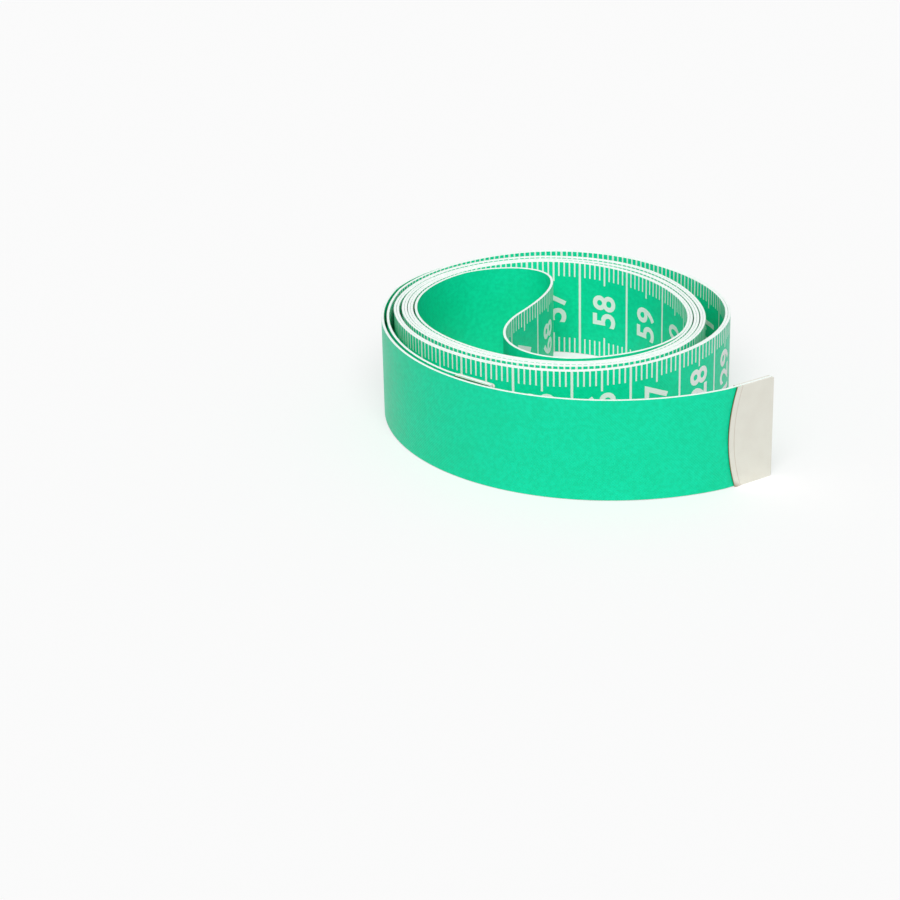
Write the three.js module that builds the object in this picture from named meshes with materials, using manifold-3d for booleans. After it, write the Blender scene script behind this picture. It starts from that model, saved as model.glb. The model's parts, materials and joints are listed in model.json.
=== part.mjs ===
// A soft tape measure that stands on its edge. A coated cloth band is wound double from its middle, so that
// both of its ends lie outside, and a folded metal tip is crimped over each end. Millimetres, +Z up.
import * as THREE from 'three';
import { mergeVertices } from 'three/addons/utils/BufferGeometryUtils.js';
import loadManifold from 'manifold-3d';

// The tape
const TAPE_LENGTH = 1500; // from the outer edge of one tip to the outer edge of the other
const TAPE_WIDTH = 18;
const TAPE_THICKNESS = 0.45;

// The winding, seen from above, with angles in degrees, counter-clockwise from +X
const WHOLE_TURNS = 4; // of each strand
const LAY_GAP = 0.47; // clear gap between neighbouring layers
const OVAL_RISE = 1; // how far the coil swells along its long axis and draws in across it
const OVAL_AXIS = 122;
const LEAVING_ANGLE = 158; // where both strands leave the coil
const LOOSE_GAP = 2.6; // how far the outermost turn stands off the coil
const LOOSE_FROM = 300;
const LOOSE_SWEEP = 205;
const LOOSE_SKEW = 0.6; // under 1, the widest place comes early in the sweep

// The fold in the middle of the tape, in shares of the coil's inner radius
const FOLD_MIDDLE = new THREE.Vector2(-0.261, -0.076); // where it crosses over, from the middle of the coil
const FOLD_HEADING = 57; // the way it runs there
const FOLD_REACHES = { tucked: 0.59, before: 0.61, after: 1.28, free: 0.32 }; // of its curves' handles

// The free end, which springs off the coil, and the tucked end behind it
const FREE_END_RADIUS = 40;
const FREE_END_LENGTH = 93.5; // along the bend, from the coil to the tip
const FREE_END_STRETCHES = ['near', 'middle', 'far']; // each starts where the free end flexes as it uncurls
const TUCKED_END_LENGTH = 42;
const TUCKED_END_FLEX = 15; // along the bend, from the coil to where the tucked end flexes
const FLEX_GAP = 0.3; // between stretches of tape that flex against each other

// The tips
const TIP_LENGTH = 9.6; // at the middle, where the crimped edge reaches furthest
const TIP_EDGE_BOW = 1.6; // how far the crimped edge is bowed
const TIP_LEAF = 0.25;
const TIP_FIT = 0.06; // between the tape and each leaf
const TIP_SEAT_GAP = 0.35; // between the tucked tip and the free end that lies over it
const TIP_CORNER = 0.8;
const FREE_TIP_TILT = 8; // how far the free tip is bent inward at its crimped edge
const BEAD_INSET = 1.1; // the raised line behind the crimped edge
const BEAD_WIDTH = 0.5;
const BEAD_RISE = 0.12;
const BEAD_END = 0.3; // where it stops short of the tape's edges
const DIMPLE_RADIUS = 1.2; // of the punch that clinches the inner leaf
const DIMPLE_DEPTH = 0.13;
const DIMPLE_SPACING = 8;
const DIMPLE_INSET = 4.2; // from the middle of the crimped edge

// Facets
const STEPS_PER_TURN = 48;
const STEP_LENGTH = 3.2; // along the bends outside the winding
const FOLD_STEP_LENGTH = 2;
const ARC_STEPS = 6; // in each small bend of a tip
const PUNCH_STEPS = 12; // around a dimple

const FULL_TURN = 360;
const LAYER_PITCH = TAPE_THICKNESS + LAY_GAP;
const TURN_PITCH = 2 * LAYER_PITCH; // the two strands lie between each other
const TIP_HALF = TAPE_THICKNESS / 2 + TIP_FIT + TIP_LEAF;
const rad = THREE.MathUtils.degToRad;
// The straight tucked tip lies along the free end, so it is tilted by half of what that bend turns there.
const TUCKED_TIP_TILT = THREE.MathUtils.radToDeg(TIP_LENGTH / FREE_END_RADIUS / 2);

// Each strand starts at the fold and winds outward. The free strand lies innermost on the left, and the
// tucked strand on the right, half a turn later.
const FREE_STRAND = { from: 131.25, innermost: 180, loose: true };
const TUCKED_STRAND = { from: 288.75, innermost: 360, loose: false };
const WINDING_END = LEAVING_ANGLE + WHOLE_TURNS * FULL_TURN;

const bandMaterial = new THREE.MeshStandardMaterial({ color: 0x12cf92, roughness: 0.42, metalness: 0 });
const tipMaterial = new THREE.MeshStandardMaterial({ color: 0xd9d3c8, roughness: 0.24, metalness: 1 });

// How far the last turn of the free strand stands off at an angle of its winding.
function looseRise(angle) {
  const share = (angle - LOOSE_FROM - (WHOLE_TURNS - 1) * FULL_TURN) / LOOSE_SWEEP;
  if (share <= 0 || share >= 1) return 0;
  return LOOSE_GAP * Math.sin(Math.PI * share ** LOOSE_SKEW) ** 2;
}

// A point on the middle line of a strand.
function strandPoint(strand, angle, innerRadius) {
  const wound = TURN_PITCH * (angle - strand.innermost) / FULL_TURN;
  const oval = OVAL_RISE * Math.cos(2 * rad(angle - OVAL_AXIS));
  const loose = strand.loose ? looseRise(angle) : 0;
  const radius = innerRadius + wound + oval + loose;
  return new THREE.Vector2(radius * Math.cos(rad(angle)), radius * Math.sin(rad(angle)));
}

// The way a strand runs at an angle, outward along the winding, as an angle in radians.
function strandHeading(strand, angle, innerRadius) {
  const nearby = 0.01;
  const before = strandPoint(strand, angle - nearby, innerRadius);
  return strandPoint(strand, angle + nearby, innerRadius).sub(before).angle();
}

// The whole winding of a strand, with its stations at like angles on every turn.
function strandPoints(strand, innerRadius) {
  const step = FULL_TURN / STEPS_PER_TURN;
  const firstStation = (Math.floor(strand.from / step) + 1.5) * step;
  const points = [strandPoint(strand, strand.from, innerRadius)];
  for (let angle = firstStation; angle < WINDING_END - step / 2; angle += step) {
    points.push(strandPoint(strand, angle, innerRadius));
  }
  points.push(strandPoint(strand, WINDING_END, innerRadius));
  return points;
}

// The point that lies a distance from another in a direction.
function pointFrom(point, angle, distance) {
  return new THREE.Vector2(Math.cos(angle), Math.sin(angle)).multiplyScalar(distance).add(point);
}

// The fold that joins the strands. It leaves the tucked strand, crosses over and meets the free strand.
function foldPath(innerRadius) {
  const reach = (share) => share * innerRadius;
  const start = strandPoint(TUCKED_STRAND, TUCKED_STRAND.from, innerRadius);
  const end = strandPoint(FREE_STRAND, FREE_STRAND.from, innerRadius);
  const startHeading = strandHeading(TUCKED_STRAND, TUCKED_STRAND.from, innerRadius) + Math.PI;
  const endHeading = strandHeading(FREE_STRAND, FREE_STRAND.from, innerRadius);
  const middle = FOLD_MIDDLE.clone().multiplyScalar(innerRadius);
  const leaving = pointFrom(start, startHeading, reach(FOLD_REACHES.tucked));
  const before = pointFrom(middle, rad(FOLD_HEADING), -reach(FOLD_REACHES.before));
  const after = pointFrom(middle, rad(FOLD_HEADING), reach(FOLD_REACHES.after));
  const meeting = pointFrom(end, endHeading, -reach(FOLD_REACHES.free));
  const path = new THREE.Path();
  path.moveTo(start.x, start.y);
  path.bezierCurveTo(leaving.x, leaving.y, before.x, before.y, middle.x, middle.y);
  path.bezierCurveTo(after.x, after.y, meeting.x, meeting.y, end.x, end.y);
  return path;
}

// An end of the tape past the coil: one bend, and the straight stretch that the tip holds.
function endPath(strand, radius, length, tipTilt, innerRadius) {
  const heading = strandHeading(strand, WINDING_END, innerRadius);
  const centre = pointFrom(strandPoint(strand, WINDING_END, innerRadius), heading + Math.PI / 2, radius);
  const start = heading - Math.PI / 2;
  const path = new THREE.Path();
  path.absarc(centre.x, centre.y, radius, start, start + length / radius, false);
  const tip = pointFrom(path.currentPoint, heading + length / radius + rad(tipTilt), TIP_LENGTH);
  path.lineTo(tip.x, tip.y);
  return path;
}

// The tucked end curls a little tighter than the free end over it, which leaves room for its thicker tip.
function tuckedEndRadius() {
  const over = FREE_END_RADIUS - LAYER_PITCH;
  const room = TIP_LEAF + TIP_FIT + TIP_SEAT_GAP - LAY_GAP;
  return 1 / (1 / over + 2 * room / TUCKED_END_LENGTH ** 2);
}

function polylineLength(points) {
  return points.slice(1).reduce((sum, point, i) => sum + point.distanceTo(points[i]), 0);
}

// Points along a path between two distances from its start.
function stretch(path, from, to, stepLength = STEP_LENGTH) {
  const steps = Math.max(1, Math.ceil((to - from) / stepLength));
  const step = (to - from) / steps;
  const total = path.getLength();
  return Array.from({ length: steps + 1 }, (_, i) => path.getPoint((from + i * step) / total));
}

// Everything that lies along the tape for one inner radius of the coil.
function layTape(innerRadius) {
  const fold = foldPath(innerRadius);
  const freeEnd = endPath(FREE_STRAND, FREE_END_RADIUS, FREE_END_LENGTH, FREE_TIP_TILT, innerRadius);
  const tuckedRadius = tuckedEndRadius();
  const tuckedEnd = endPath(TUCKED_STRAND, tuckedRadius, TUCKED_END_LENGTH, TUCKED_TIP_TILT, innerRadius);
  const free = strandPoints(FREE_STRAND, innerRadius);
  const tucked = strandPoints(TUCKED_STRAND, innerRadius);
  const length = polylineLength(free) + polylineLength(tucked)
    + fold.getLength() + freeEnd.getLength() + tuckedEnd.getLength();
  return { fold, freeEnd, tuckedEnd, free, tucked, length };
}

// The coil is as wide as the length of the tape makes it.
function fitTape() {
  const wound = rad(2 * WINDING_END - FREE_STRAND.from - TUCKED_STRAND.from);
  const closeEnough = 1e-6;
  let innerRadius = TAPE_LENGTH / wound;
  let laid = layTape(innerRadius);
  while (Math.abs(TAPE_LENGTH - laid.length) > closeEnough) {
    innerRadius += (TAPE_LENGTH - laid.length) / wound;
    laid = layTape(innerRadius);
  }
  return laid;
}

// A band of the tape's section along a line of points, with mitred corners, as one closed mesh.
function bandGeometry(points) {
  const corners = [];
  const faces = [];
  points.forEach((point, i) => {
    const before = points[Math.max(i - 1, 0)];
    const after = points[Math.min(i + 1, points.length - 1)];
    const along = after.clone().sub(point).normalize();
    const back = point.clone().sub(before).normalize();
    const way = along.clone().add(back).normalize();
    const half = TAPE_THICKNESS / 2 / Math.max(way.dot(along), way.dot(back));
    for (const [side, height] of [[half, 0], [-half, 0], [-half, TAPE_WIDTH], [half, TAPE_WIDTH]]) {
      corners.push(point.x - way.y * side, point.y + way.x * side, height);
    }
  });
  const last = 4 * (points.length - 1);
  for (let base = 0; base < last; base += 4) {
    for (let side = 0; side < 4; side += 1) {
      const near = base + side;
      const next = base + (side + 1) % 4;
      faces.push(near, next + 4, next, near, near + 4, next + 4);
    }
  }
  faces.push(0, 2, 3, 0, 1, 2);
  faces.push(last, last + 2, last + 1, last, last + 3, last + 2);
  const geometry = new THREE.BufferGeometry();
  geometry.setAttribute('position', new THREE.Float32BufferAttribute(corners, 3));
  geometry.setIndex(faces);
  geometry.computeVertexNormals();
  return geometry;
}

// The least clear gap between stretches of the tape that aren't next to each other along it.
function leastGap(points) {
  const apart = 12;
  const travelled = [0];
  points.slice(1).forEach((point, i) => travelled.push(travelled[i] + point.distanceTo(points[i])));
  let least = Infinity;
  points.forEach((point, i) => {
    for (let j = 1; j < points.length; j += 1) {
      if (Math.abs(travelled[j] - travelled[i]) < apart) continue;
      if (Math.abs(travelled[j - 1] - travelled[i]) < apart) continue;
      const edge = points[j].clone().sub(points[j - 1]);
      const reach = point.clone().sub(points[j - 1]);
      const share = THREE.MathUtils.clamp(reach.dot(edge) / edge.lengthSq(), 0, 1);
      least = Math.min(least, reach.addScaledVector(edge, -share).length());
    }
  });
  return least - TAPE_THICKNESS;
}

// Joins and cuts of closed meshes
const wasm = await loadManifold();
wasm.setup();

function toSolid(geometry) {
  const bare = geometry.clone();
  bare.deleteAttribute('normal');
  bare.deleteAttribute('uv');
  const merged = mergeVertices(bare);
  const vertProperties = merged.getAttribute('position').array;
  return new wasm.Manifold(new wasm.Mesh({ numProp: 3, vertProperties, triVerts: merged.index.array }));
}

function toGeometry(solid) {
  const { vertProperties, triVerts } = solid.getMesh();
  const geometry = new THREE.BufferGeometry();
  geometry.setAttribute('position', new THREE.BufferAttribute(vertProperties, 3));
  geometry.setIndex(new THREE.BufferAttribute(triVerts, 1));
  geometry.computeVertexNormals();
  return geometry;
}

// A tip's shape drawn as it is seen on its broad side, X along the tape and Z up, as a slab across Y.
function slab(shape, from, to) {
  const geometry = new THREE.ExtrudeGeometry(shape, {
    depth: to - from, bevelEnabled: false, curveSegments: 2 * ARC_STEPS,
  });
  geometry.rotateX(Math.PI / 2);
  geometry.translate(0, to, 0);
  return toSolid(geometry);
}

// The bowed crimped edge of a tip, as a curve a given distance behind the edge.
function bowedEdge(inset, low, high) {
  const middle = TAPE_WIDTH / 2;
  const bow = (z) => inset + TIP_EDGE_BOW * ((z - middle) / middle) ** 2;
  const control = 2 * bow(middle) - (bow(low) + bow(high)) / 2;
  return { lowX: bow(low), highX: bow(high), control };
}

// A metal tip, folded over the end of the tape: two leaves with a bowed edge, a raised line along that edge
// on the outer leaf, and two dimples that clinch the inner leaf.
function tipGeometry() {
  const slotHalf = TIP_HALF - TIP_LEAF;
  const foldAt = TIP_LENGTH - TIP_HALF;
  const past = 0.05;
  const profile = new THREE.Shape();
  profile.moveTo(-past, TIP_HALF);
  profile.lineTo(foldAt, TIP_HALF);
  profile.absarc(foldAt, 0, TIP_HALF, Math.PI / 2, -Math.PI / 2, true);
  profile.lineTo(-past, -TIP_HALF);
  profile.lineTo(-past, -slotHalf);
  profile.lineTo(foldAt, -slotHalf);
  profile.absarc(foldAt, 0, slotHalf, -Math.PI / 2, Math.PI / 2, false);
  profile.lineTo(-past, slotHalf);
  profile.closePath();
  const folded = new THREE.ExtrudeGeometry(profile, {
    depth: TAPE_WIDTH + 2 * past, bevelEnabled: false, curveSegments: ARC_STEPS,
  });
  folded.translate(0, 0, -past);

  const edge = bowedEdge(0, 0, TAPE_WIDTH);
  const right = TIP_LENGTH + past;
  const outline = new THREE.Shape();
  outline.moveTo(edge.highX, TAPE_WIDTH);
  outline.quadraticCurveTo(edge.control, TAPE_WIDTH / 2, edge.lowX, 0);
  outline.lineTo(right - TIP_CORNER, 0);
  outline.absarc(right - TIP_CORNER, TIP_CORNER, TIP_CORNER, -Math.PI / 2, 0, false);
  outline.lineTo(right, TAPE_WIDTH - TIP_CORNER);
  outline.absarc(right - TIP_CORNER, TAPE_WIDTH - TIP_CORNER, TIP_CORNER, 0, Math.PI / 2, false);
  outline.closePath();

  const low = BEAD_END;
  const high = TAPE_WIDTH - BEAD_END;
  const near = bowedEdge(BEAD_INSET, low, high);
  const far = bowedEdge(BEAD_INSET + BEAD_WIDTH, low, high);
  const bead = new THREE.Shape();
  bead.moveTo(near.lowX, low);
  bead.quadraticCurveTo(near.control, TAPE_WIDTH / 2, near.highX, high);
  bead.lineTo(far.highX, high);
  bead.quadraticCurveTo(far.control, TAPE_WIDTH / 2, far.lowX, low);
  bead.closePath();

  let tip = toSolid(folded).intersect(slab(outline, -TIP_LENGTH, TIP_LENGTH));
  tip = tip.add(slab(bead, -TIP_HALF - BEAD_RISE, -TIP_HALF + TIP_LEAF / 2));
  for (const side of [-1, 1]) {
    const punch = new THREE.SphereGeometry(DIMPLE_RADIUS, PUNCH_STEPS, PUNCH_STEPS);
    const centre = TIP_HALF + DIMPLE_RADIUS - DIMPLE_DEPTH;
    punch.translate(DIMPLE_INSET, centre, TAPE_WIDTH / 2 + side * DIMPLE_SPACING / 2);
    tip = tip.subtract(toSolid(punch));
  }
  return toGeometry(tip);
}

// A tip on the straight last stretch of an end.
function tipMesh(name, path) {
  const length = path.getLength();
  const start = path.getPoint((length - TIP_LENGTH) / length);
  const heading = path.getPoint(1).sub(start).angle();
  const mesh = new THREE.Mesh(tipGeometry(), tipMaterial);
  mesh.name = name;
  mesh.position.set(start.x, start.y, 0);
  mesh.rotation.z = heading;
  return mesh;
}

function bandMesh(name, points) {
  const mesh = new THREE.Mesh(bandGeometry(points), bandMaterial);
  mesh.name = name;
  return mesh;
}

// The stretch of an end from one place on its bend to where it stops inside the tip.
function lastStretch(path, from) {
  const bendEnd = path.getLength() - TIP_LENGTH;
  const stop = path.getPoint(1 - TIP_HALF / path.getLength());
  return [...stretch(path, from, bendEnd), stop];
}

const tape = fitTape();
const halfGap = FLEX_GAP / 2;
const flexSpacing = FREE_END_LENGTH / FREE_END_STRETCHES.length;
const flexes = FREE_END_STRETCHES.map((_, i) => flexSpacing * (i + 0.5));

const coilPoints = [
  ...stretch(tape.tuckedEnd, 0, TUCKED_END_FLEX - halfGap).reverse(),
  ...tape.tucked.slice(0, -1).reverse(),
  ...stretch(tape.fold, 0, tape.fold.getLength(), FOLD_STEP_LENGTH).slice(1, -1),
  ...tape.free.slice(0, -1),
  ...stretch(tape.freeEnd, 0, flexes[0] - halfGap),
];
console.log(`least gap between turns of the tape: ${leastGap(coilPoints).toFixed(3)} mm`);

const tapeMeasure = new THREE.Group();
tapeMeasure.name = 'tape_measure';
tapeMeasure.add(bandMesh('tape_coil', coilPoints));

const freeEnd = new THREE.Group();
FREE_END_STRETCHES.forEach((name, i) => {
  const from = flexes[i] + halfGap;
  const last = i === FREE_END_STRETCHES.length - 1;
  const points = last
    ? lastStretch(tape.freeEnd, from)
    : stretch(tape.freeEnd, from, flexes[i + 1] - halfGap);
  freeEnd.add(bandMesh(`free_end_${name}`, points));
});
freeEnd.add(tipMesh('free_end_tip', tape.freeEnd));

const tuckedEnd = new THREE.Group();
tuckedEnd.add(bandMesh('tucked_end', lastStretch(tape.tuckedEnd, TUCKED_END_FLEX + halfGap)));
tuckedEnd.add(tipMesh('tucked_end_tip', tape.tuckedEnd));
tapeMeasure.add(freeEnd, tuckedEnd);

// The origin lies under the middle of the tape measure, on the surface that it stands on.
const middle = new THREE.Box3().setFromObject(tapeMeasure, true).getCenter(new THREE.Vector3());
tapeMeasure.position.set(-middle.x, -middle.y, 0);

export default tapeMeasure;
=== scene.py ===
"""Dresses the wound cloth tape measure: the printed band with its weave and pale cut edges, the two folded
metal tips, and a plain studio with the photograph's camera. Lengths are in millimetres, in the part's own
frame, until a mesh is made. Angles are in degrees, counter-clockwise from +X, seen from above."""

import json

import bmesh
import bpy
import numpy as np
from mathutils import Matrix, Vector


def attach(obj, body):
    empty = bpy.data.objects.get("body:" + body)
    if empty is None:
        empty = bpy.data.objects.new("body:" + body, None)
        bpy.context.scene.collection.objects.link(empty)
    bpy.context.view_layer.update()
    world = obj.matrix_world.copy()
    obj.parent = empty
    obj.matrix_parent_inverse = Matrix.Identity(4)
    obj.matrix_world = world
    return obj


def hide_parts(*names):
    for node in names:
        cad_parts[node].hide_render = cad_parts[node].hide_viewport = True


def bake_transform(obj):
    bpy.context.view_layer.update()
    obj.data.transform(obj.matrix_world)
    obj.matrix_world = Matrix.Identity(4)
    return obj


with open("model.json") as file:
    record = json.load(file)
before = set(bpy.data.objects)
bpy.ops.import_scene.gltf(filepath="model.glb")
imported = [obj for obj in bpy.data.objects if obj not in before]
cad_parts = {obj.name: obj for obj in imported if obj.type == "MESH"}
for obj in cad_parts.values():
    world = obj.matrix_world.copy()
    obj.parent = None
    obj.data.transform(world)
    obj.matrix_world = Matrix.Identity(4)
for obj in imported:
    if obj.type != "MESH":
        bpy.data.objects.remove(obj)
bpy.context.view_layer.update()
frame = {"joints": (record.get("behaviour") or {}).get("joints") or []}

MM = 0.001
CENTIMETRE = 10
SAME_POINT = 1e-6
LENGTH_MISS = 1e-3  # what the laid tape may miss its length by

# The tape, measured along its middle line from the outer edge of the tucked tip
TAPE_LENGTH = 1500
TAPE_WIDTH = 18
TAPE_THICKNESS = 0.45
CUT_CHAMFER = 0.05
EDGE_WANDER = 0.14  # how far the turns stand out of line with each other
WANDER_LENGTHS = (173, 61)
PLACE_ATTRIBUTE = "tape_place"

# The winding. Two strands wind outward from a fold, and a layer is half a turn of one of them. The tucked
# strand and the free strand outside it are pressed together as a pair, and gaps lie outside each pair.
COIL_CENTRE = np.array([-1.963, 5.321])
WHOLE_TURNS = 4
LEAVING_ANGLE = 158
WINDING_END = LEAVING_ANGLE + 360 * WHOLE_TURNS
PLAN_WAVES = (  # how many to a turn, their rise and the angle of a peak
    (1, 0.54, 251),
    (2, 1.36, 129),
    (3, 0.3, 66),
)
BULGE_RISE = 0.7  # of the whole winding, where it leans on the ends that leave it
BULGE_ANGLE = 165
BULGE_REACH = 60
PRESSED_GAP = 0.04
GAPS = np.array([  # layers of the free strand, and the gap outside it there
    (-0.7, 0), (0, 0.3), (0.2, 0.12), (0.5, 0.1), (1, 0.22), (1.25, 0.35), (1.5, 0.1),
    (2, 0.12), (2.5, 0.06), (3, 0.2), (3.3, 0.65), (3.5, 0.3), (3.72, 0.3), (3.85, 0.15),
    (4, 0.5), (4.22, 1.2), (4.5, 1.2), (4.69, 0.9), (5.03, 3.9), (5.3, 2.55), (5.42, 2.6),
    (5.8, 0), (7, 0),
])
PAIR_LEAD = 60  # the turn over which the outermost pair reaches the place where it leaves the coil
END_LEAD = 45  # the turn over which it opens there
SLACK_END = 334  # up to here the tucked strand hangs off the layer outside it
FREE_STRAND = {"from": 131.25, "innermost": 180, "first_gap": 2, "slack": 0}
TUCKED_STRAND = {"from": 288.75, "innermost": 360, "first_gap": 1, "slack": 1.25}
STRAND_POINTS = 6000
LINE_STEP = 0.25
WAY_REACH = 0.4  # to each side of a place, to find the way along the tape there

# The fold in the middle of the tape, in shares of the coil's inner radius
FOLD_MIDDLE = np.array([-0.261, -0.076])
FOLD_HEADING = 57
FOLD_REACHES = np.array([0.59, 0.61, 1.28, 0.32])  # of the handles of its two curves
FOLD_POINTS = 240

# The ends
FREE_HINGES = ("free_end_uncurl", "free_end_uncurl_middle", "free_end_uncurl_far")
FREE_NODES = ("free_end_near", "free_end_middle", "free_end_far")
TUCKED_HINGE = "tucked_end_spring"
TUCKED_INSET = 0.92  # of the tucked end behind the free end, where both leave the coil
TUCKED_RADIUS = 38.754
TUCKED_LENGTH = 42

# The print
SCALE_START = 9  # where its zero lies, under the tucked tip
SCALE_END = 1400
MARK_WIDTHS = {10: 0.42, 5: 0.34, 1: 0.28}  # of lines at whole and half centimetres and millimetres
LEAST_FACE = 0.05  # along the tape
LOW_TICK = 3.0
LOW_HALF_TICK = 3.9
HIGH_TICK = 2.8
HIGH_HALF_TICK = 3.8
DIGIT_HEIGHT = 4.75
DIGIT_ADVANCE = 3.3
DIGIT_WEIGHT = 0.02  # thickening of the typed strokes, as a share of the type size
DIGIT_CURVE_STEPS = 4
DIGIT_WELD = 1e-4  # in type sizes
DIGIT_DEPTH = 0.5  # in type sizes, before its faces are set to the ink's rise and root
ONE_OUTLINE = ((0.22, 0), (0.4, 0), (0.4, 1), (0.27, 1), (0, 0.81), (0, 0.64), (0.22, 0.75))
FOUR_OUTLINE = (
    (0.36, 0), (0.53, 0), (0.53, 0.22), (0.63, 0.22), (0.63, 0.37), (0.53, 0.37),
    (0.53, 1), (0.36, 1), (0, 0.38), (0, 0.22), (0.36, 0.22),
)
FOUR_HOLE = ((0.36, 0.37), (0.36, 0.76), (0.13, 0.37))
DRAWN_DIGITS = {"1": (ONE_OUTLINE,), "4": (FOUR_OUTLINE, FOUR_HOLE)}  # in shares of the height
NUMBER_MIDDLE = 9.1
INK_RISE = 0.02
INK_ROOT = 0.02
INK_STEP = 0.4  # between the cuts that let a digit follow the bend of the tape

# The tips
TIP_LENGTH = 9.6
FREE_TIP_TILT = 8  # against the end of the bend
TUCKED_TIP_TILT = 6.875
TIP_EDGE_BOW = 1.6
TIP_LEAF = 0.295
TIP_FIT = 0.015
TIP_HALF = TAPE_THICKNESS / 2 + TIP_FIT + TIP_LEAF
TIP_CORNER = 0.8
LIP_WIDTH = 1.1  # of the raised strip along the crimped edge
LIP_SLOPE = 0.3
LIP_RISE = 0.1
DIMPLE_INSET = 4.2
DIMPLE_SPACING = 8
DIMPLE_RADIUS = 0.8
DIMPLE_DEPTH = 0.15
TIP_STEP = 0.15
BEND_STEPS = 14
TIP_ATTRIBUTE = "tip_place"

# Faces that meet at more than these angles stay crisp
BAND_CRISP_ANGLE = 30
TIP_CRISP_ANGLE = 40

# Colours and textures. A scale of noise is a count to the millimetre.
THREAD_PITCH = 0.5
CLOUD_SCALE = 0.12
SLUB_SCALE = 1.5
GRAIN_SCALE = 3.0
INK_GRAIN_SCALE = 5.0
EDGE_THREAD_SCALE = 1.1
PLATE_CLOUD_SCALE = 0.35
PLATE_GRAIN_SCALE = 6.0
VALLEY_SHADE = 0.1  # painted shade between the threads
SLUB_MOTTLE = 0.4  # where the threads are uneven
INK_WEAR = 0.14
EDGE_TINT_SHARE = 0.6
TAPE_GLOSS = 0.2
TAPE_ROUGHNESS = (0.33, 0.45)
INK_ROUGHNESS = (0.42, 0.55)
PLATE_ROUGHNESS = (0.28, 0.36)
EDGE_ROUGHNESS = 0.75
FLOOR_ROUGHNESS = 0.9
GREEN_LIGHT = (0.004, 0.81, 0.45, 1)
GREEN_DEEP = (0.003, 0.77, 0.405, 1)
# The darker green is both the uneven threads' own tone and painted shade between the threads.
GREEN_MOTTLE_AND_SHADE = (0.002, 0.60, 0.29, 1)
INK_WHITE = (0.96, 0.97, 0.95, 1)
INK_THIN = (0.60, 0.84, 0.74, 1)
EDGE_PALE = (0.92, 0.95, 0.93, 1)
EDGE_TINT = (0.76, 0.89, 0.84, 1)
NICKEL_LIGHT = (0.78, 0.77, 0.69, 1)
NICKEL_WARM = (0.755, 0.74, 0.66, 1)
# A brown for the cut metal, and for painted shade along the crimped edge and in the crease inside the lip.
NICKEL_STAIN_AND_SHADE = (0.30, 0.15, 0.06, 1)
FLOOR_TONE = (0.45, 0.45, 0.45, 1)

# The studio
SKY_LIGHT = 0.45  # the even light, where 1 makes a white floor white
KEY_LIGHT = 2.4
KEY_PLACE = (-0.05, -0.65, 0.75)  # the way to the main lamp
KEY_SPREAD = 45
FLOOR_LIFT = 0.5  # what the picture adds to the floor's own tone
FLOOR_REACH = 4  # in metres

# The camera, as fitted to the photograph
PICTURE_SIZE = 900
FOCAL_PIXELS = 2530
SENSOR_WIDTH = 36
ELEVATION = 24.5
ROLL = 1.4
CAMERA_DISTANCE = 480
LENS_NEAREST = 0.01  # in metres
PICTURE_MIDDLE = np.append(COIL_CENTRE + (-19.145, 19.653), -17.984)  # the point that it looks at


# Lines in plan
def smooth(share):
    share = np.clip(share, 0, 1)
    return share * share * (3 - 2 * share)


def polar(radius, angle):
    turn = np.radians(angle)
    return np.stack([radius * np.cos(turn), radius * np.sin(turn)], -1)


def bearing(way):
    return np.degrees(np.arctan2(way[1], way[0]))


def unit(way):
    return way / np.linalg.norm(way, axis=-1, keepdims=True)


def arc(centre, radius, start, end):
    steps = int(abs(np.radians(end - start)) * radius / LINE_STEP) + 2
    return centre + polar(radius, np.linspace(start, end, steps))


def bezier(start, leaving, meeting, end):
    share = np.linspace(0, 1, FOLD_POINTS)[:, None]
    rest = 1 - share
    near = rest**3 * start + 3 * rest**2 * share * leaving
    return near + 3 * rest * share**2 * meeting + share**3 * end


def hinge_point(name):
    joint = next(j for j in frame["joints"] if j["name"] == name)
    return np.array(joint["pos_m"][:2]) / MM - COIL_CENTRE


def circle_through(a, b, c):
    chords = 2 * np.array([b - a, c - a])
    centre = np.linalg.solve(chords, np.array([b @ b - a @ a, c @ c - a @ a]))
    return centre, np.linalg.norm(a - centre)


def tip_line(line, tilt):
    """The straight stretch that a tip holds, turned by an angle against the end of a line of points."""
    way = polar(1, bearing(line[-1] - line[-2]) + tilt)
    reach = np.linspace(0, TIP_LENGTH, int(TIP_LENGTH / LINE_STEP) + 1)[1:, None]
    return line[-1] + reach * way


def free_end_line():
    """The free end's bend passes through its hinges, in the middles of three equal stretches."""
    hinges = [hinge_point(name) for name in FREE_HINGES]
    centre, radius = circle_through(*hinges)
    angles = [bearing(hinge - centre) % 360 for hinge in hinges]
    half_stretch = (angles[1] - angles[0]) / 2
    return arc(centre, radius, angles[0] - half_stretch, angles[-1] + half_stretch)


def tucked_end_line(leaving):
    hinge = hinge_point(TUCKED_HINGE)
    half_chord = (hinge - leaving) / 2
    half_length = np.linalg.norm(half_chord)
    inward = np.array([-half_chord[1], half_chord[0]]) / half_length
    centre = leaving + half_chord + inward * np.sqrt(TUCKED_RADIUS**2 - half_length**2)
    start = bearing(leaving - centre) % 360
    return arc(centre, TUCKED_RADIUS, start, start + np.degrees(TUCKED_LENGTH / TUCKED_RADIUS))


def gap_outside(layer):
    """The gap outside a layer of the free strand, which eases from each given place to the next."""
    layers, widths = GAPS.T
    after = np.clip(np.searchsorted(layers, layer), 1, len(GAPS) - 1)
    share = (layer - layers[after - 1]) / (layers[after] - layers[after - 1])
    return widths[after - 1] + (widths[after] - widths[after - 1]) * smooth(share)


def gaps_within(layer, first_gap):
    """All gaps between the innermost layer and another, which lie two layers apart."""
    gaps = sum(gap_outside(layer - first_gap - 2 * turn) for turn in range(WHOLE_TURNS))
    return gaps + PRESSED_GAP * (layer + first_gap - 1) / 2


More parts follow.
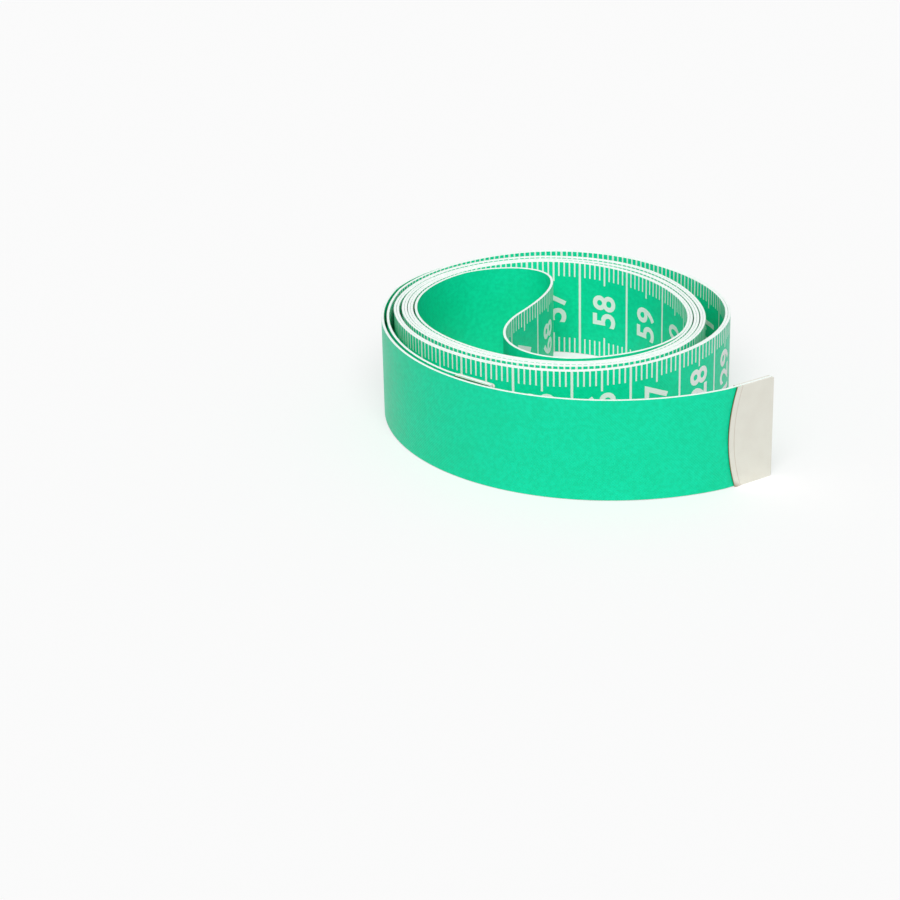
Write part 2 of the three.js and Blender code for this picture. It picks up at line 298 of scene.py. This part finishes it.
def wound_radius(strand, angle, base_radius):
    layer = (angle - strand["innermost"]) / 180
    radius = base_radius + TAPE_THICKNESS * layer + gaps_within(layer, strand["first_gap"])
    for waves, rise, peak in PLAN_WAVES:
        radius += rise * np.cos(waves * np.radians(angle - peak))
    off_bulge = np.abs((angle - BULGE_ANGLE + 180) % 360 - 180)
    radius += BULGE_RISE * smooth(1 - off_bulge / BULGE_REACH)
    return radius - strand["slack"] * smooth((SLACK_END - angle) / (SLACK_END - strand["from"]))


def strand_line(strand, base_radius, pair_rise, leaving):
    """The winding of one strand, from the fold outward to the point where it leaves the coil."""
    angle = np.linspace(strand["from"], WINDING_END, STRAND_POINTS)
    radius = wound_radius(strand, angle, base_radius)
    radius += pair_rise * smooth(1 + (angle - WINDING_END) / PAIR_LEAD)
    radius += (np.linalg.norm(leaving) - radius[-1]) * smooth(1 + (angle - WINDING_END) / END_LEAD)
    return polar(radius, angle)


def fold_line(tucked, free, base_radius):
    """From the tucked strand to the free strand: two curves that meet where the fold crosses over."""
    leaving, before, after, meeting = base_radius * FOLD_REACHES
    middle = base_radius * FOLD_MIDDLE
    way = polar(1, FOLD_HEADING)
    first_handle = tucked[0] + leaving * unit(tucked[0] - tucked[1])
    last_handle = free[0] - meeting * unit(free[1] - free[0])
    first = bezier(tucked[0], first_handle, middle - before * way, middle)
    second = bezier(middle, middle + after * way, last_handle, free[0])
    return np.vstack([first, second])


def lay_tape(base_radius):
    """The middle line of the tape, from the tucked tip to the free tip, and the way travelled on it."""
    free_end = free_end_line()
    leaving = free_end[0]
    tucked_leaving = leaving * (1 - TUCKED_INSET / np.linalg.norm(leaving))
    tucked_end = tucked_end_line(tucked_leaving)
    pair_rise = np.linalg.norm(tucked_leaving) - wound_radius(TUCKED_STRAND, WINDING_END, base_radius)
    tucked = strand_line(TUCKED_STRAND, base_radius, pair_rise, tucked_leaving)
    free = strand_line(FREE_STRAND, base_radius, pair_rise, leaving)
    line = np.vstack([
        tip_line(tucked_end, TUCKED_TIP_TILT)[::-1],
        tucked_end[::-1],
        tucked[::-1],
        fold_line(tucked, free, base_radius),
        free,
        free_end,
        tip_line(free_end, FREE_TIP_TILT),
    ])
    steps = np.linalg.norm(np.diff(line, axis=0), axis=1)
    fresh = np.concatenate([[True], steps > SAME_POINT])
    travelled = np.concatenate([[0], np.cumsum(steps[fresh[1:]])])
    return line[fresh] + COIL_CENTRE, travelled


def fit_tape():
    """The coil is as wide as the length of the tape makes it."""
    wound = np.radians(2 * WINDING_END - FREE_STRAND["from"] - TUCKED_STRAND["from"])
    base_radius = TAPE_LENGTH / wound
    line, travelled = lay_tape(base_radius)
    while abs(TAPE_LENGTH - travelled[-1]) > LENGTH_MISS:
        base_radius += (TAPE_LENGTH - travelled[-1]) / wound
        line, travelled = lay_tape(base_radius)
    return line, travelled


tape_line, tape_travelled = fit_tape()


def on_line(place):
    return np.stack([np.interp(place, tape_travelled, tape_line[:, axis]) for axis in (0, 1)], -1)


def printed_side(way):
    """The way off the tape towards its printed side, for a way along the tape."""
    return np.stack([way[..., 1], -way[..., 0]], -1)


def edge_wander(place):
    waves = sum(np.sin(2 * np.pi * place / length) for length in WANDER_LENGTHS)
    return EDGE_WANDER * (waves / (2 * len(WANDER_LENGTHS)) + 0.5)


def on_tape(place, offset, height):
    """Points at places along the tape, off its middle line towards the printed side, at a height."""
    place = np.asarray(place, float)
    way = unit(on_line(place + WAY_REACH) - on_line(place - WAY_REACH))
    flat = on_line(place) + printed_side(way) * np.asarray(offset, float)[..., None]
    return np.concatenate([flat, (height + edge_wander(place))[..., None]], -1)


def place_of(point):
    """How far along the tape a point on its middle line lies, from the middle of the coil."""
    away = np.linalg.norm(tape_line - COIL_CENTRE - point, axis=1)
    return tape_travelled[np.argmin(away)]


# Materials
def add_node(material, kind, **settings):
    node = material.node_tree.nodes.new(kind)
    for name, value in settings.items():
        setattr(node, name, value)
    return node


def feed(material, socket, source):
    """Sets a socket to a number or a colour, or links it to another node's output."""
    if isinstance(source, bpy.types.NodeSocket):
        material.node_tree.links.new(source, socket)
    else:
        socket.default_value = source


def maths(material, operation, first, second=0.0):
    node = add_node(material, "ShaderNodeMath", operation=operation)
    feed(material, node.inputs[0], first)
    feed(material, node.inputs[1], second)
    return node.outputs[0]


def mixed(material, share, first, second):
    node = add_node(material, "ShaderNodeMix", data_type="RGBA")
    feed(material, node.inputs["Factor"], share)
    feed(material, node.inputs["A"], first)
    feed(material, node.inputs["B"], second)
    return node.outputs["Result"]


def spread(material, value, low, high, to_low, to_high):
    node = add_node(material, "ShaderNodeMapRange")
    for name, source in zip(("From Min", "From Max", "To Min", "To Max"), (low, high, to_low, to_high)):
        node.inputs[name].default_value = source
    feed(material, node.inputs["Value"], value)
    return node.outputs["Result"]


def noise(material, vector, scale, detail=2.0):
    node = add_node(material, "ShaderNodeTexNoise")
    node.inputs["Scale"].default_value = scale
    node.inputs["Detail"].default_value = detail
    feed(material, node.inputs["Vector"], vector)
    return node.outputs["Fac"]


def split(material, vector):
    node = add_node(material, "ShaderNodeSeparateXYZ")
    feed(material, node.inputs[0], vector)
    return node.outputs


def kept_places(material, attribute):
    return add_node(material, "ShaderNodeAttribute", attribute_name=attribute).outputs["Vector"]


def bump(material, shader, height, strength, distance):
    node = add_node(material, "ShaderNodeBump")
    node.inputs["Strength"].default_value = strength
    node.inputs["Distance"].default_value = distance * MM
    feed(material, node.inputs["Height"], height)
    feed(material, shader.inputs["Normal"], node.outputs["Normal"])


def new_material(name):
    material = bpy.data.materials.new(name)
    material.use_nodes = True
    return material, material.node_tree.nodes["Principled BSDF"]


def weave_height(material, places):
    """Threads over and under each other, drowned in the coating."""
    along, across, _ = split(material, places)
    warp = maths(material, "SINE", maths(material, "MULTIPLY", along, 2 * np.pi / THREAD_PITCH))
    weft = maths(material, "SINE", maths(material, "MULTIPLY", across, 2 * np.pi / THREAD_PITCH))
    return maths(material, "MULTIPLY", warp, weft)


def tape_material():
    material, shader = new_material("green_coated_cloth")
    places = kept_places(material, PLACE_ATTRIBUTE)
    weave = weave_height(material, places)
    cloud = noise(material, places, CLOUD_SCALE, 3.0)
    grain = noise(material, places, GRAIN_SCALE, 4.0)
    slub = noise(material, places, SLUB_SCALE)
    tone = mixed(material, spread(material, cloud, 0.3, 0.7, 0, 1), GREEN_DEEP, GREEN_LIGHT)
    # Painted shade: a darker green in the valleys between the threads; the slubs add the threads' own
    # uneven tone.
    thread_valley_shade = spread(material, weave, -1, 1, VALLEY_SHADE, 0)
    mottle_and_shade = maths(material, "ADD", thread_valley_shade, spread(material, slub, 0.35, 0.65, SLUB_MOTTLE, 0))
    feed(material, shader.inputs["Base Color"], mixed(material, mottle_and_shade, tone, GREEN_MOTTLE_AND_SHADE))
    feed(material, shader.inputs["Roughness"], spread(material, grain, 0.3, 0.7, *TAPE_ROUGHNESS))
    shader.inputs["Specular IOR Level"].default_value = TAPE_GLOSS
    height = maths(material, "ADD", weave, maths(material, "MULTIPLY", grain, 0.8))
    bump(material, shader, height, 0.3, 0.03)
    return material


def ink_material():
    material, shader = new_material("white_ink")
    places = kept_places(material, PLACE_ATTRIBUTE)
    weave = weave_height(material, places)
    grain = noise(material, places, INK_GRAIN_SCALE, 3.0)
    worn = maths(material, "ADD", maths(material, "MULTIPLY", weave, 0.12), grain)
    colour = mixed(material, spread(material, worn, 0.25, 0.55, INK_WEAR, 0), INK_WHITE, INK_THIN)
    feed(material, shader.inputs["Base Color"], colour)
    feed(material, shader.inputs["Roughness"], spread(material, grain, 0.3, 0.7, *INK_ROUGHNESS))
    bump(material, shader, weave, 0.2, 0.02)
    return material


def edge_material():
    material, shader = new_material("pale_cut_edge")
    places = kept_places(material, PLACE_ATTRIBUTE)
    threads = noise(material, places, EDGE_THREAD_SCALE, 3.0)
    tint = spread(material, threads, 0.35, 0.65, 0, EDGE_TINT_SHARE)
    feed(material, shader.inputs["Base Color"], mixed(material, tint, EDGE_PALE, EDGE_TINT))
    shader.inputs["Roughness"].default_value = EDGE_ROUGHNESS
    bump(material, shader, threads, 0.2, 0.03)
    return material


def tip_material():
    """Plated sheet, brown along its crimped edge and most at its lower corner, partly as cut metal and
    partly as painted shade where the edge meets the tape, with painted shade in the crease inside its lip.
    """
    material, shader = new_material("nickel_plate")
    places = kept_places(material, TIP_ATTRIBUTE)
    from_edge, height, _ = split(material, places)
    cloud = noise(material, places, PLATE_CLOUD_SCALE)
    grain = noise(material, places, PLATE_GRAIN_SCALE, 3.0)
    metal = mixed(material, spread(material, cloud, 0.35, 0.65, 0, 1), NICKEL_LIGHT, NICKEL_WARM)
    from_crease = maths(material, "ABSOLUTE", maths(material, "SUBTRACT", from_edge, LIP_WIDTH))
    # Along the crimped edge: the brown of the cut metal together with painted shade where the edge meets
    # the tape.
    cut = spread(material, from_edge, 0.04, 0.16, 0.9, 0)
    # Painted shade in the crease at the foot of the raised lip.
    crease_shade = spread(material, from_crease, 0.02, 0.14, 0.35, 0)
    corner_reach = maths(material, "ADD", from_edge, height)
    corner = spread(material, maths(material, "ADD", corner_reach, grain), 0.6, 2.2, 0.7, 0)
    stain_and_shade = maths(material, "MAXIMUM", maths(material, "MAXIMUM", cut, crease_shade), corner)
    feed(material, shader.inputs["Base Color"], mixed(material, stain_and_shade, metal, NICKEL_STAIN_AND_SHADE))
    shader.inputs["Metallic"].default_value = 1
    feed(material, shader.inputs["Roughness"], spread(material, grain, 0.3, 0.7, *PLATE_ROUGHNESS))
    bump(material, shader, grain, 0.05, 0.01)
    return material


green = tape_material()
white_ink = ink_material()
cut_edge = edge_material()
nickel = tip_material()
BAND_MATERIALS = (green, white_ink, cut_edge)
GREEN_FACE, INK_FACE, EDGE_FACE = range(3)


def add_object(name, data):
    """Puts a mesh, a lamp or a camera in the scene."""
    added = bpy.data.objects.new(name, data)
    bpy.context.scene.collection.objects.link(added)
    return added


# The band
FACE_ROWS = np.array([
    CUT_CHAMFER, LOW_TICK, LOW_HALF_TICK,
    TAPE_WIDTH - HIGH_HALF_TICK, TAPE_WIDTH - HIGH_TICK, TAPE_WIDTH - CUT_CHAMFER,
])
ROW_KINDS = (1, 5, 10, 5, 1)  # the least kind of mark that inks each strip between two rows


def mark_kind(mark):
    """10, 5 or 1 for a mark at a whole centimetre, a half centimetre or a millimetre."""
    return np.where(mark % 10 == 0, 10, np.where(mark % 5 == 0, 5, 1))


def mark_half(mark):
    kind = mark_kind(mark)
    return sum(np.where(kind == size, width / 2, 0) for size, width in MARK_WIDTHS.items())


def column_places(start, end):
    """Where faces begin along the tape: at both edges of every mark, and each millimetre elsewhere."""
    marks = np.arange(1, SCALE_END + 1)
    edges = [SCALE_START + marks + side * mark_half(marks) for side in (-1, 1)]
    before = np.arange(0, SCALE_START)
    after = np.arange(SCALE_START + SCALE_END + 1, TAPE_LENGTH)
    places = np.concatenate([*edges, before, after])
    inside = places[(places > start + LEAST_FACE) & (places < end - LEAST_FACE)]
    return np.unique(np.concatenate([inside, [start, end]]))


def inked_strips(middle):
    """For faces around places along the tape, which of the strips across it are inked."""
    mark = np.round(middle - SCALE_START)
    reach = np.abs(middle - SCALE_START - mark) < mark_half(mark)
    shown = reach & (mark >= 1) & (mark <= SCALE_END)
    return shown[:, None] & (mark_kind(mark)[:, None] >= np.array(ROW_KINDS))


def band_section():
    """The tape's section, up its printed side and down the other: offsets and heights."""
    half = TAPE_THICKNESS / 2
    inner = half - CUT_CHAMFER
    up = [(half, row) for row in FACE_ROWS]
    down = [(-half, row) for row in FACE_ROWS[::-1]]
    top = [(inner, TAPE_WIDTH), (-inner, TAPE_WIDTH)]
    bottom = [(-inner, 0), (inner, 0)]
    return np.array(up + top + down + bottom)


def band_faces(places):
    """Faces between neighbouring sections, with the material of each, and the two closed ends."""
    section = len(band_section())
    strips = len(ROW_KINDS)
    middle = (places[1:] + places[:-1]) / 2
    kinds = np.full((len(middle), section), EDGE_FACE)
    kinds[:, :strips] = np.where(inked_strips(middle), INK_FACE, GREEN_FACE)
    reverse = slice(strips + 3, 2 * strips + 3)
    kinds[:, reverse] = GREEN_FACE
    near = np.arange(section)
    following = np.roll(near, -1)
    base = np.arange(len(middle))[:, None] * section
    corners = [base + near, base + section + near, base + section + following, base + following]
    faces = np.stack(corners, -1).reshape(-1, 4).tolist()
    ends = [near.tolist(), (near[::-1] + section * len(middle)).tolist()]
    return faces + ends, kinds.ravel().tolist() + [EDGE_FACE] * 2


def drawn_digit(outlines):
    curve = bpy.data.curves.new("digit", "CURVE")
    curve.dimensions = "2D"
    curve.fill_mode = "BOTH"
    for outline in outlines:
        spline = curve.splines.new("POLY")
        spline.points.add(len(outline) - 1)
        for point, (x, y) in zip(spline.points, outline):
            point.co = (x, y, 0, 1)
        spline.use_cyclic_u = True
    return curve


def typed_digit(digit):
    text = bpy.data.curves.new("digit", "FONT")
    text.body = digit
    text.offset = DIGIT_WEIGHT
    text.resolution_u = DIGIT_CURVE_STEPS
    return text


def digit_shapes():
    """Each digit as a flat closed solid, cut across so that it can follow a bend: points and faces."""
    shapes = {}
    for digit in "0123456789":
        outline = drawn_digit(DRAWN_DIGITS[digit]) if digit in DRAWN_DIGITS else typed_digit(digit)
        outline.extrude = DIGIT_DEPTH
        holder = bpy.data.objects.new("digit", outline)
        solid = bmesh.new()
        solid.from_mesh(holder.to_mesh())
        bpy.data.objects.remove(holder)
        bpy.data.curves.remove(outline)
        bmesh.ops.remove_doubles(solid, verts=solid.verts, dist=DIGIT_WELD)
        points = np.array([v.co for v in solid.verts])
        low, high = points.min(0), points.max(0)
        scale = DIGIT_HEIGHT / (high[1] - low[1])
        for vert, point in zip(solid.verts, points):
            x, y = (point[:2] - (low[:2] + high[:2]) / 2) * scale
            vert.co = (x, y, INK_RISE if point[2] > 0 else -INK_ROOT)
        for cut in np.arange(INK_STEP - DIGIT_HEIGHT / 2, DIGIT_HEIGHT / 2, INK_STEP):
            everything = solid.verts[:] + solid.edges[:] + solid.faces[:]
            bmesh.ops.bisect_plane(solid, geom=everything, plane_co=(0, cut, 0), plane_no=(0, 1, 0))
        bmesh.ops.triangulate(solid, faces=solid.faces)
        solid.verts.index_update()
        shapes[digit] = (
            np.array([v.co for v in solid.verts]),
            [[v.index for v in face.verts] for face in solid.faces],
        )
        solid.free()
    return shapes


digit_outlines = digit_shapes()


def printed_numbers(start, end):
    """The numbers that lie wholly on a stretch, each after its line, with their tops towards zero."""
    points = [np.zeros((0, 3))]
    faces = []
    count = 0
    for number in range(1, SCALE_END // CENTIMETRE):
        middle = SCALE_START + CENTIMETRE * (number + 0.5)
        if middle - DIGIT_HEIGHT / 2 < start or middle + DIGIT_HEIGHT / 2 > end:
            continue
        digits = str(number)
        for i, digit in enumerate(digits):
            shape, shape_faces = digit_outlines[digit]
            place = middle - shape[:, 1]
            height = NUMBER_MIDDLE + (i - (len(digits) - 1) / 2) * DIGIT_ADVANCE + shape[:, 0]
            points.append(np.stack([place, TAPE_THICKNESS / 2 + shape[:, 2], height], -1))
            faces += [[v + count for v in face] for face in shape_faces]
            count += len(shape)
    return np.concatenate(points), faces


def band_piece(name, start, end):
    """One stretch of the printed tape, as a mesh with its place on the tape kept at every point."""
    places = column_places(start, end)
    section = band_section()
    grid_place = np.repeat(places, len(section))
    grid_offset = np.tile(section[:, 0], len(places))
    grid_height = np.tile(section[:, 1], len(places))
    faces, kinds = band_faces(places)
    ink, ink_faces = printed_numbers(start, end)
    place = np.concatenate([grid_place, ink[:, 0]])
    offset = np.concatenate([grid_offset, ink[:, 1]])
    height = np.concatenate([grid_height, ink[:, 2]])
    faces += [[v + len(grid_place) for v in face] for face in ink_faces]
    kinds += [INK_FACE] * len(ink_faces)
    mesh = bpy.data.meshes.new(name)
    mesh.from_pydata((on_tape(place, offset, height) * MM).tolist(), [], faces)
    for material in BAND_MATERIALS:
        mesh.materials.append(material)
    mesh.polygons.foreach_set("material_index", kinds)
    kept = mesh.attributes.new(PLACE_ATTRIBUTE, "FLOAT_VECTOR", "POINT")
    kept.data.foreach_set("vector", np.stack([place, height, offset], -1).ravel())
    mesh.shade_smooth()
    mesh.set_sharp_from_angle(angle=np.radians(BAND_CRISP_ANGLE))
    piece = add_object(name, mesh)
    return piece


def hinge_blend(piece):
    """Bakes the placement of a stretch of tape into its mesh."""
    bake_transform(piece)


def band():
    first_hinge, second_hinge = (place_of(hinge_point(name)) for name in FREE_HINGES[:2])
    stretch = second_hinge - first_hinge
    free_start = first_hinge - stretch / 2
    tucked_start = TIP_LENGTH + TUCKED_LENGTH
    coil = band_piece("wound_tape", tucked_start, free_start)
    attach(coil, "coil")
    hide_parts("tape_coil")
    for i, (hinge, node) in enumerate(zip(FREE_HINGES, FREE_NODES)):
        start = free_start + i * stretch
        end = TAPE_LENGTH - TIP_HALF if node == FREE_NODES[-1] else start + stretch
        piece = band_piece(f"{node}_tape", start, end)
        hinge_blend(piece)
        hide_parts(node)
    tucked = band_piece("tucked_end_tape", TIP_HALF, tucked_start)
    hinge_blend(tucked)
    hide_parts("tucked_end")


band()


# The tips
def tip_leaf(along, across, outer):
    """How far a leaf's middle surface stands off the tape, with its raised lip or its dimples."""
    stand = TIP_HALF - TIP_LEAF / 2
    from_edge = along - TIP_EDGE_BOW * across**2
    if outer:
        lip = smooth((LIP_WIDTH - from_edge) / LIP_SLOPE) * smooth(from_edge / LIP_SLOPE)
        return stand + LIP_RISE * lip
    from_middle = np.abs(across) * TAPE_WIDTH / 2 - DIMPLE_SPACING / 2
    away = np.hypot(along - DIMPLE_INSET, from_middle)
    return stand - DIMPLE_DEPTH * smooth(1 - away / DIMPLE_RADIUS)


def tip_surface():
    """The tip's sheet, from the edge of its outer leaf round the fold to that of its inner leaf."""
    fold_at = TIP_LENGTH - TIP_HALF
    across = np.linspace(-1, 1, int(TAPE_WIDTH / TIP_STEP) + 1)
    edge = TIP_EDGE_BOW * across**2
    leaf_steps = np.linspace(0, 1, int(fold_at / TIP_STEP) + 1)
    rows = []
    for step in leaf_steps:
        along = edge + (fold_at - edge) * step
        rows.append((along, tip_leaf(along, across, True)))
    stand = TIP_HALF - TIP_LEAF / 2
    for turn in np.linspace(0, 180, BEND_STEPS + 1)[1:-1]:
        reach, offset = stand * polar(1, 90 - turn)
        rows.append((np.full_like(across, fold_at + reach), np.full_like(across, offset)))
    for step in leaf_steps[::-1]:
        along = edge + (fold_at - edge) * step
        rows.append((along, -tip_leaf(along, across, False)))
    along, offset = (np.array(part) for part in zip(*rows))
    past_corner = np.clip(along - (TIP_LENGTH - TIP_CORNER), 0, TIP_CORNER)
    drawn_in = TIP_CORNER - np.sqrt(TIP_CORNER**2 - past_corner**2)
    height = TAPE_WIDTH / 2 + across * (TAPE_WIDTH / 2 - drawn_in)
    return along, offset, height, along - edge


def sheet_normals(along, offset):
    """The outward way of the folded sheet in its own section."""
    way = unit(np.stack([np.gradient(along, axis=0), np.gradient(offset, axis=0)], -1))
    return -way[..., 1], way[..., 0]


def tip_piece(name, body, edge_place, inward):
    """A folded tip, whose outer edge lies at a place on the tape. Inward is the way to its crimp."""
    along, offset, height, from_edge = tip_surface()
    out_along, out_offset = sheet_normals(along, offset)
    edge = on_line(edge_place)
    way = unit(on_line(edge_place + inward * TIP_LENGTH) - edge)
    side = printed_side(way * inward)
    points = []
    for shift in (TIP_LEAF / 2, -TIP_LEAF / 2):
        reach = TIP_LENGTH - along - shift * out_along
        stand = offset + shift * out_offset
        flat = edge + reach[..., None] * way + stand[..., None] * side
        points.append(np.concatenate([flat, height[..., None]], -1).reshape(-1, 3))
    rows, columns = along.shape
    index = np.arange(rows * columns).reshape(rows, columns)
    corners = [index[:-1, :-1], index[:-1, 1:], index[1:, 1:], index[1:, :-1]]
    quads = np.stack(corners, -1).reshape(-1, 4)
    rim_loop = np.concatenate([index[0, :-1], index[:-1, -1], index[-1, :0:-1], index[:0:-1, 0]])
    following = np.roll(rim_loop, -1)
    under = rows * columns
    walls = np.stack([rim_loop, rim_loop + under, following + under, following], -1)
    faces = np.concatenate([quads, quads[:, ::-1] + under, walls])
    mesh = bpy.data.meshes.new(name)
    mesh.from_pydata((np.concatenate(points) * MM).tolist(), [], faces.tolist())
    mesh.materials.append(nickel)
    kept = mesh.attributes.new(TIP_ATTRIBUTE, "FLOAT_VECTOR", "POINT")
    kept.data.foreach_set("vector", np.tile(np.stack([from_edge, height, offset], -1).ravel(), 2))
    solid = bmesh.new()
    solid.from_mesh(mesh)
    bmesh.ops.recalc_face_normals(solid, faces=solid.faces)
    solid.to_mesh(mesh)
    solid.free()
    mesh.shade_smooth()
    mesh.set_sharp_from_angle(angle=np.radians(TIP_CRISP_ANGLE))
    piece = add_object(f"{name}_metal", mesh)
    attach(piece, body)
    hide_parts(name)


tip_piece("free_end_tip", "end_far", TAPE_LENGTH, -1)
tip_piece("tucked_end_tip", "tucked", 0, 1)


# The studio
def floor():
    material, shader = new_material("pale_floor")
    shader.inputs["Base Color"].default_value = FLOOR_TONE
    shader.inputs["Roughness"].default_value = FLOOR_ROUGHNESS
    shader.inputs["Specular IOR Level"].default_value = 0
    path = add_node(material, "ShaderNodeLightPath")
    seen = maths(material, "MAXIMUM", path.outputs["Is Camera Ray"], path.outputs["Is Glossy Ray"])
    feed(material, shader.inputs["Emission Strength"], maths(material, "MULTIPLY", seen, FLOOR_LIFT))
    mesh = bpy.data.meshes.new("floor")
    corners = [(-FLOOR_REACH, -FLOOR_REACH, 0), (FLOOR_REACH, -FLOOR_REACH, 0),
               (FLOOR_REACH, FLOOR_REACH, 0), (-FLOOR_REACH, FLOOR_REACH, 0)]
    mesh.from_pydata(corners, [], [(0, 1, 2, 3)])
    mesh.materials.append(material)
    add_object("floor", mesh)


def surroundings():
    """White to the camera and in reflections, and a soft even light otherwise."""
    world = bpy.data.worlds.new("studio")
    world.use_nodes = True
    tree = world.node_tree
    background = tree.nodes["Background"]
    path = tree.nodes.new("ShaderNodeLightPath")
    seen = tree.nodes.new("ShaderNodeMath")
    seen.operation = "MAXIMUM"
    tree.links.new(path.outputs["Is Camera Ray"], seen.inputs[0])
    tree.links.new(path.outputs["Is Glossy Ray"], seen.inputs[1])
    strength = tree.nodes.new("ShaderNodeMapRange")
    strength.inputs["To Min"].default_value = SKY_LIGHT
    strength.inputs["To Max"].default_value = 1
    tree.links.new(seen.outputs[0], strength.inputs["Value"])
    tree.links.new(strength.outputs["Result"], background.inputs["Strength"])
    background.inputs["Color"].default_value = (1, 1, 1, 1)
    bpy.context.scene.world = world


def key_lamp():
    light = bpy.data.lights.new("key", "SUN")
    light.energy = KEY_LIGHT
    light.angle = np.radians(KEY_SPREAD)
    holder = add_object("key", light)
    holder.rotation_euler = Vector(KEY_PLACE).to_track_quat("Z", "Y").to_euler()


def camera():
    tilt, roll = np.radians(ELEVATION), np.radians(ROLL)
    forward = np.array([0, np.cos(tilt), -np.sin(tilt)])
    level = np.array([1, 0, 0])
    down = np.cross(forward, level)
    right = np.cos(roll) * level + np.sin(roll) * down
    up = np.sin(roll) * level - np.cos(roll) * down
    place = (PICTURE_MIDDLE - CAMERA_DISTANCE * forward) * MM
    lens = bpy.data.cameras.new("camera")
    lens.sensor_width = SENSOR_WIDTH
    lens.lens = SENSOR_WIDTH * FOCAL_PIXELS / PICTURE_SIZE
    lens.clip_start = LENS_NEAREST
    holder = add_object("camera", lens)
    turned = np.eye(4)
    turned[:3] = np.column_stack([right, up, -forward, place])
    holder.matrix_world = Matrix(turned.tolist())
    bpy.context.scene.camera = holder


floor()
surroundings()
key_lamp()
camera()
bpy.context.scene.view_settings.view_transform = "Standard"
